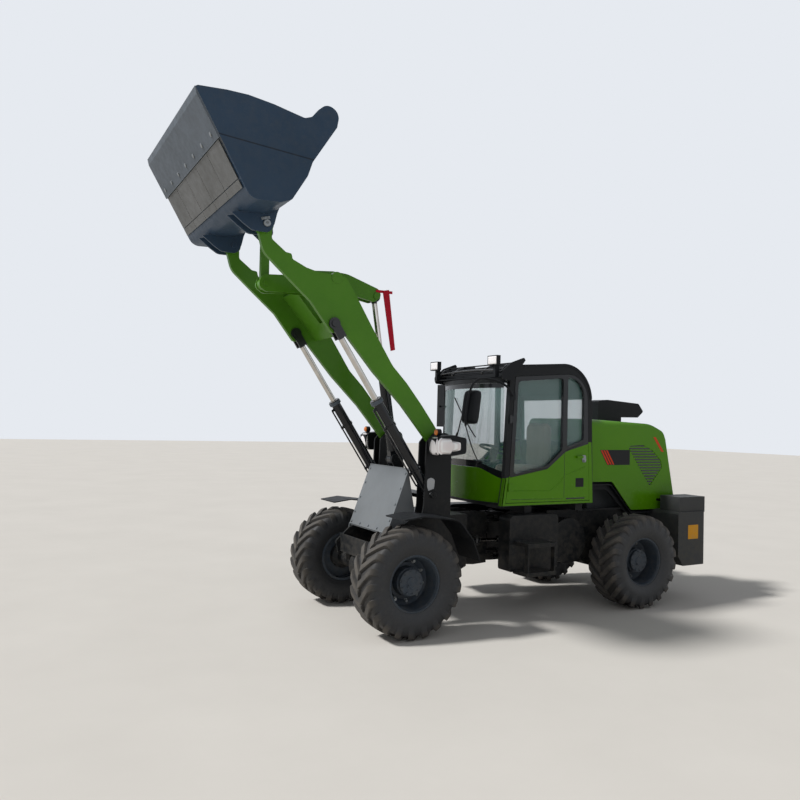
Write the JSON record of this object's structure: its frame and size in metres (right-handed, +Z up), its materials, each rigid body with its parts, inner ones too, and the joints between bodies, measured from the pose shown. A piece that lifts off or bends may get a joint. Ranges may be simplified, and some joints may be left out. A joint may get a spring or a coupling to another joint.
{
  "type": "wheel loader",
  "caption": "Compact articulated wheel loader parked with its boom up and bucket rolled back; wheels, steering, boom, bucket, cylinders and left door move.",
  "frame": {"origin": "on the ground under the middle of the whole machine's length and width", "axes": "+X forward towards the bucket, +Y to the driver's left, +Z up"},
  "size_m": [6.4794, 2.04, 4.9026],
  "materials": {
    "tyre": "matt",
    "rim": "satin",
    "frame_black": "satin",
    "cover_grey": "satin",
    "weight_grey": "painted",
    "body_green": "gloss",
    "arm_green": "satin",
    "bucket_paint": "satin",
    "worn_steel": "worn",
    "cylinder_black": "gloss",
    "chrome": "polished",
    "indicator_red": "gloss",
    "engine_iron": "painted",
    "plastic_black": "matt",
    "glass": "clear",
    "seat_fabric": "woven",
    "lamp": "clear lens"
  },
  "bodies": {
    "rear_frame": {"rear_frame": "frame_black", "rear_axle": "frame_black", "engine_block": "engine_iron", "transfer_box": "engine_iron", "counterweight": "weight_grey", "hood": "body_green", "air_cleaner": "plastic_black", "rear_fender_left": "plastic_black", "rear_fender_right": "plastic_black", "steps_left": "frame_black", "steps_right": "frame_black", "cab_frame": "frame_black", "windscreen": "glass", "rear_window": "glass", "cab_roof": "plastic_black", "right_side_panel": "body_green", "right_side_frame": "plastic_black", "right_side_glass": "glass", "cab_nose": "body_green", "roof_visor": "plastic_black", "mirror_left": "plastic_black", "mirror_right": "plastic_black", "seat_base": "plastic_black", "seat_cushion": "seat_fabric", "seat_back": "seat_fabric", "steering_column": "plastic_black"},
    "front_frame": {"front_frame": "frame_black", "front_axle": "frame_black", "front_cover": "cover_grey", "front_fender_left": "plastic_black", "front_fender_right": "plastic_black", "headlight_left": "lamp", "headlight_right": "lamp"},
    "boom": {"boom": "arm_green"},
    "bucket": {"bucket": "bucket_paint", "cutting_edge": "worn_steel"},
    "bellcrank": {"bellcrank": "arm_green", "level_indicator": "indicator_red"},
    "bucket_link": {"bucket_link": "arm_green"},
    "tilt_barrel": {"tilt_barrel": "cylinder_black"},
    "tilt_rod": {"tilt_rod": "chrome"},
    "left_door": {"left_door": "body_green", "left_door_frame": "plastic_black", "left_door_glass": "glass"},
    "lift_barrel_left": {"lift_barrel_left": "cylinder_black"},
    "lift_rod_left": {"lift_rod_left": "chrome"},
    "steer_barrel_left": {"steer_barrel_left": "cylinder_black"},
    "steer_rod_left": {"steer_rod_left": "chrome"},
    "lift_barrel_right": {"lift_barrel_right": "cylinder_black"},
    "lift_rod_right": {"lift_rod_right": "chrome"},
    "steer_barrel_right": {"steer_barrel_right": "cylinder_black"},
    "steer_rod_right": {"steer_rod_right": "chrome"},
    "wheel_front_left": {"tyre_front_left": "tyre", "rim_front_left": "rim"},
    "wheel_front_right": {"tyre_front_right": "tyre", "rim_front_right": "rim"},
    "wheel_rear_left": {"tyre_rear_left": "tyre", "rim_rear_left": "rim"},
    "wheel_rear_right": {"tyre_rear_right": "tyre", "rim_rear_right": "rim"}
  },
  "joints": [
    {"name": "articulation", "type": "hinge", "parent": "rear_frame", "child": "front_frame", "pos_m": [-0.538, 0, 0.79], "axis": [0, 0, 1], "range_deg": [-35, 35]},
    {"name": "wheel_front_left_spin", "type": "hinge", "parent": "front_frame", "child": "wheel_front_left", "pos_m": [0.992, 0.803, 0.5375], "axis": [0, 1, 0], "continuous": true},
    {"name": "wheel_front_right_spin", "type": "hinge", "parent": "front_frame", "child": "wheel_front_right", "pos_m": [0.992, -0.803, 0.5375], "axis": [0, 1, 0], "continuous": true},
    {"name": "wheel_rear_left_spin", "type": "hinge", "parent": "rear_frame", "child": "wheel_rear_left", "pos_m": [-2.068, 0.803, 0.5375], "axis": [0, 1, 0], "continuous": true},
    {"name": "wheel_rear_right_spin", "type": "hinge", "parent": "rear_frame", "child": "wheel_rear_right", "pos_m": [-2.068, -0.803, 0.5375], "axis": [0, 1, 0], "continuous": true},
    {"name": "boom_lift", "type": "hinge", "parent": "front_frame", "child": "boom", "pos_m": [0.482, 0, 1.87], "axis": [0, -1, 0], "range_deg": [-80.5, 0]},
    {"name": "bucket_tilt", "type": "hinge", "parent": "boom", "child": "bucket", "pos_m": [2.447, 0, 3.875], "axis": [0, 1, 0], "range_deg": [-66, 104.5]},
    {"name": "bellcrank_pivot", "type": "hinge", "parent": "boom", "child": "bellcrank", "pos_m": [1.702, 0, 3.47], "axis": [0, 1, 0], "range_deg": [-25.58, 16.34]},
    {"name": "link_pivot", "type": "hinge", "parent": "bellcrank", "child": "bucket_link", "pos_m": [2.257, 0, 3.426], "axis": [0, 1, 0], "range_deg": [-28.22, 44.39]},
    {"name": "tilt_cylinder_pivot", "type": "hinge", "parent": "front_frame", "child": "tilt_barrel", "pos_m": [0.732, 0, 1.68], "axis": [0, -1, 0], "range_deg": [-84.69, 0.5]},
    {"name": "tilt_cylinder_rod", "type": "slide", "parent": "tilt_barrel", "child": "tilt_rod", "axis": [0.1667, 0, 0.986], "range_m": [-0.275, 0.174]},
    {"name": "lift_cylinder_left_pivot", "type": "hinge", "parent": "front_frame", "child": "lift_barrel_left", "pos_m": [0.582, 0.51, 1.34], "axis": [0, -1, 0], "range_deg": [-78.42, 0.5]},
    {"name": "lift_cylinder_left_rod", "type": "slide", "parent": "lift_barrel_left", "child": "lift_rod_left", "axis": [0.5608, 0, 0.8279], "range_m": [-0.695, 0.002]},
    {"name": "lift_cylinder_right_pivot", "type": "hinge", "parent": "front_frame", "child": "lift_barrel_right", "pos_m": [0.582, -0.51, 1.34], "axis": [0, -1, 0], "range_deg": [-78.42, 0.5]},
    {"name": "lift_cylinder_right_rod", "type": "slide", "parent": "lift_barrel_right", "child": "lift_rod_right", "axis": [0.5608, 0, 0.8279], "range_m": [-0.695, 0.002]},
    {"name": "steering_cylinder_left_pivot", "type": "hinge", "parent": "rear_frame", "child": "steer_barrel_left", "pos_m": [-0.968, 0.31, 0.79], "axis": [0, 0, 1], "range_deg": [-15.74, 15.74]},
    {"name": "steering_cylinder_left_rod", "type": "slide", "parent": "steer_barrel_left", "child": "steer_rod_left", "axis": [0.9997, -0.0256, 0], "range_m": [-0.183, 0.183]},
    {"name": "steering_cylinder_right_pivot", "type": "hinge", "parent": "rear_frame", "child": "steer_barrel_right", "pos_m": [-0.968, -0.31, 0.79], "axis": [0, 0, 1], "range_deg": [-15.74, 15.74]},
    {"name": "steering_cylinder_right_rod", "type": "slide", "parent": "steer_barrel_right", "child": "steer_rod_right", "axis": [0.9997, 0.0256, 0], "range_m": [-0.183, 0.183]},
    {"name": "left_door_hinge", "type": "hinge", "parent": "rear_frame", "child": "left_door", "pos_m": [-0.342, 0.664, 1.4], "axis": [0, 0, -1], "range_deg": [0, 80]}
  ],
  "couplings": [
    {"joint": "bellcrank_pivot", "follows": "bucket_tilt", "ratio": -0.24},
    {"joint": "link_pivot", "follows": "bucket_tilt", "ratio": 0.42},
    {"joint": "tilt_cylinder_pivot", "follows": "boom_lift", "ratio": 1.0458},
    {"joint": "tilt_cylinder_rod", "follows": "bucket_tilt", "m_per_rad": -0.14963},
    {"joint": "lift_cylinder_left_pivot", "follows": "boom_lift", "ratio": 0.96794},
    {"joint": "lift_cylinder_left_rod", "follows": "boom_lift", "m_per_rad": 0.49325},
    {"joint": "lift_cylinder_right_pivot", "follows": "boom_lift", "ratio": 0.96794},
    {"joint": "lift_cylinder_right_rod", "follows": "boom_lift", "m_per_rad": 0.49325},
    {"joint": "steering_cylinder_left_pivot", "follows": "articulation", "ratio": 0.4354},
    {"joint": "steering_cylinder_left_rod", "follows": "articulation", "m_per_rad": -0.29588},
    {"joint": "steering_cylinder_right_pivot", "follows": "articulation", "ratio": 0.4354},
    {"joint": "steering_cylinder_right_rod", "follows": "articulation", "m_per_rad": 0.29588}
  ]
}
